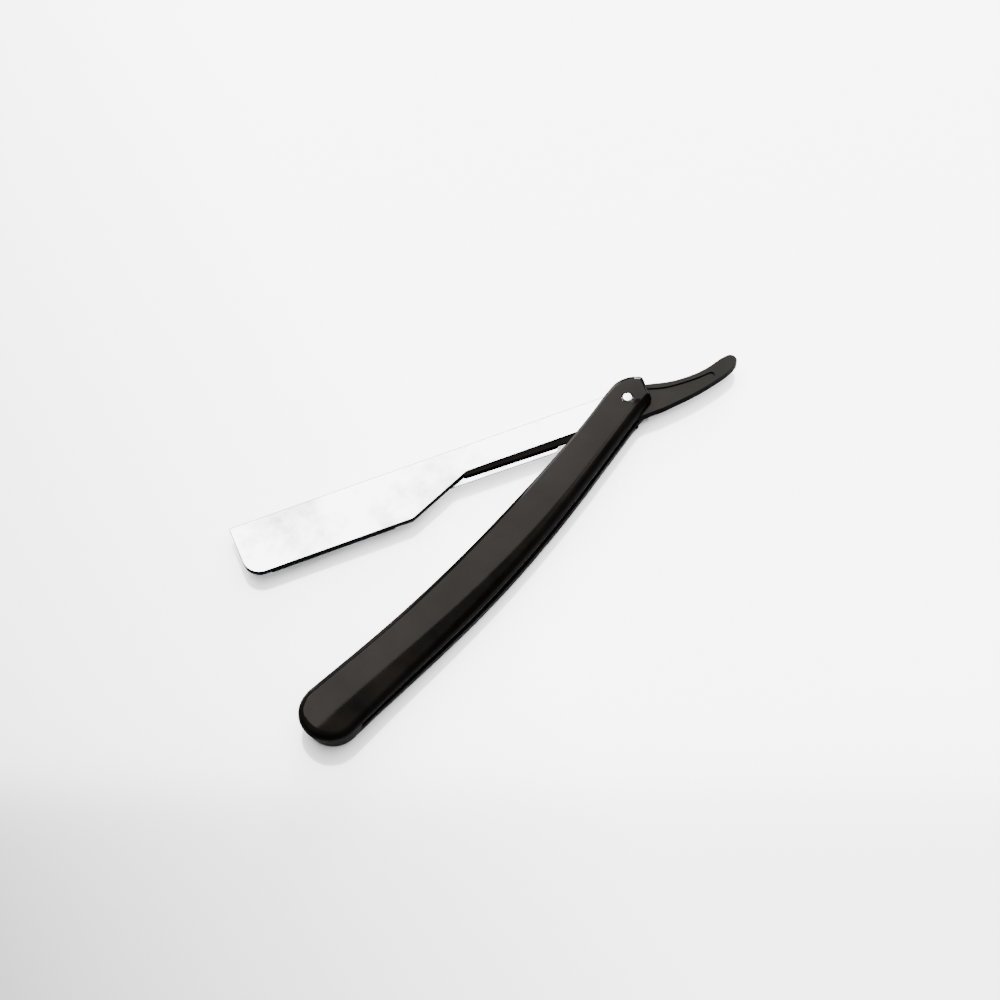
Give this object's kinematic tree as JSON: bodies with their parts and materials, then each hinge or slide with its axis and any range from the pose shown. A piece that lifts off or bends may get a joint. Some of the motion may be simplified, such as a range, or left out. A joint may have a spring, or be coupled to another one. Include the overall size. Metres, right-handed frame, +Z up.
{
  "type": "straight razor",
  "caption": "Folding straight razor with a clip-in half blade: sheet-steel holder on a black tang, turning on a rivet between two long black scales.",
  "frame": {"origin": "middle of the handle's flat underside, on the surface it lies on", "axes": "+X along the handle towards the pivot, +Y towards the side the blade folds in from, +Z up, square to the handle's flat underside"},
  "size_m": [0.1737, 0.0778, 0.0105],
  "materials": {
    "scale": "satin black moulded plastic",
    "tang": "black moulded plastic",
    "holder": "polished sheet steel",
    "carrier": "black plastic",
    "blade": "ground steel",
    "rivet": "bright plated",
    "washer": "plain brass"
  },
  "bodies": {
    "handle": {"front_scale": "scale", "back_scale": "scale", "pivot_rivet": "rivet", "front_washer": "washer", "back_washer": "washer"},
    "blade": {"tang": "tang", "blade_holder": "holder", "blade_carrier": "carrier", "razor_blade": "blade", "holder_pin_1": "rivet", "holder_pin_2": "rivet"}
  },
  "joints": [
    {"name": "blade_pivot", "type": "hinge", "parent": "handle", "child": "blade", "pos_m": [0.0655, 0.0037, 0.00465], "axis": [0, 0, 1], "range_deg": [-300, 25]}
  ]
}
